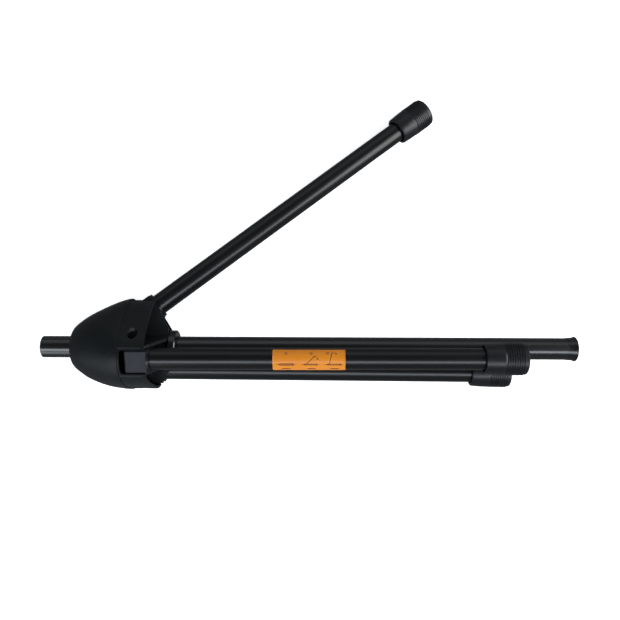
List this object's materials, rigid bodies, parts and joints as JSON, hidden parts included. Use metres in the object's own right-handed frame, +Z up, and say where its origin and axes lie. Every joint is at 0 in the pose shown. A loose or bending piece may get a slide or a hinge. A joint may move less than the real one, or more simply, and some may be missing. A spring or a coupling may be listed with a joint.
{
  "type": "music stand base",
  "caption": "Folding tripod base of a music stand, lying on its side with one leg swung out, with a bell-shaped hub and a sliding tubular mast.",
  "frame": {"origin": "centre of the footprint box on the floor", "axes": "+X along the mast towards its lower end, +Y towards the swung-out leg, +Z up from the floor the base lies on"},
  "size_m": [0.613, 0.3662, 0.1077],
  "materials": {
    "hub_plastic": "fine matte texture",
    "tube_black": "satin black",
    "knuckle_plastic": "smooth satin",
    "ring_plastic": "matte",
    "foot_rubber": "matte",
    "plug_plastic": "satin",
    "pin_black": "gloss black",
    "bush_plastic": "smooth",
    "spring_steel": "brushed",
    "label_orange": "gloss film"
  },
  "bodies": {
    "hub": {"hub_cap": "hub_plastic", "hub_body": "hub_plastic", "upper_bush": "bush_plastic", "lower_bush": "bush_plastic", "lower_collar": "plug_plastic", "front_pivot_pin": "pin_black", "raised_pivot_pin": "pin_black", "rear_pivot_pin": "pin_black", "front_click_spring": "spring_steel", "raised_click_spring": "spring_steel", "rear_click_spring": "spring_steel"},
    "mast": {"mast_tube": "tube_black", "mast_end_cap": "plug_plastic"},
    "front_leg": {"front_knuckle": "knuckle_plastic", "front_ring": "ring_plastic", "front_leg_tube": "tube_black", "front_foot": "foot_rubber", "leg_label": "label_orange"},
    "raised_leg": {"raised_knuckle": "knuckle_plastic", "raised_ring": "ring_plastic", "raised_leg_tube": "tube_black", "raised_foot": "foot_rubber"},
    "rear_leg": {"rear_knuckle": "knuckle_plastic", "rear_ring": "ring_plastic", "rear_leg_tube": "tube_black", "rear_foot": "foot_rubber"}
  },
  "joints": [
    {"name": "mast_slide", "type": "slide", "parent": "hub", "child": "mast", "axis": [1, 0, -0.0008], "range_m": [-0.445, 0.028]},
    {"name": "front_leg_hinge", "type": "hinge", "parent": "hub", "child": "front_leg", "pos_m": [-0.19007, -0.15066, 0.08879], "axis": [-0.0003, -0.9169, -0.399], "range_deg": [-0.2, 78.6]},
    {"name": "raised_leg_hinge", "type": "hinge", "parent": "hub", "child": "raised_leg", "pos_m": [-0.1901, -0.09551, 0.04801], "axis": [0.0008, 0.1129, 0.9936], "range_deg": [-39.3, 39.5]},
    {"name": "rear_leg_hinge", "type": "hinge", "parent": "hub", "child": "rear_leg", "pos_m": [-0.19013, -0.1584, 0.02064], "axis": [-0.0005, 0.804, -0.5946], "range_deg": [-1.2, 77.6]}
  ]
}
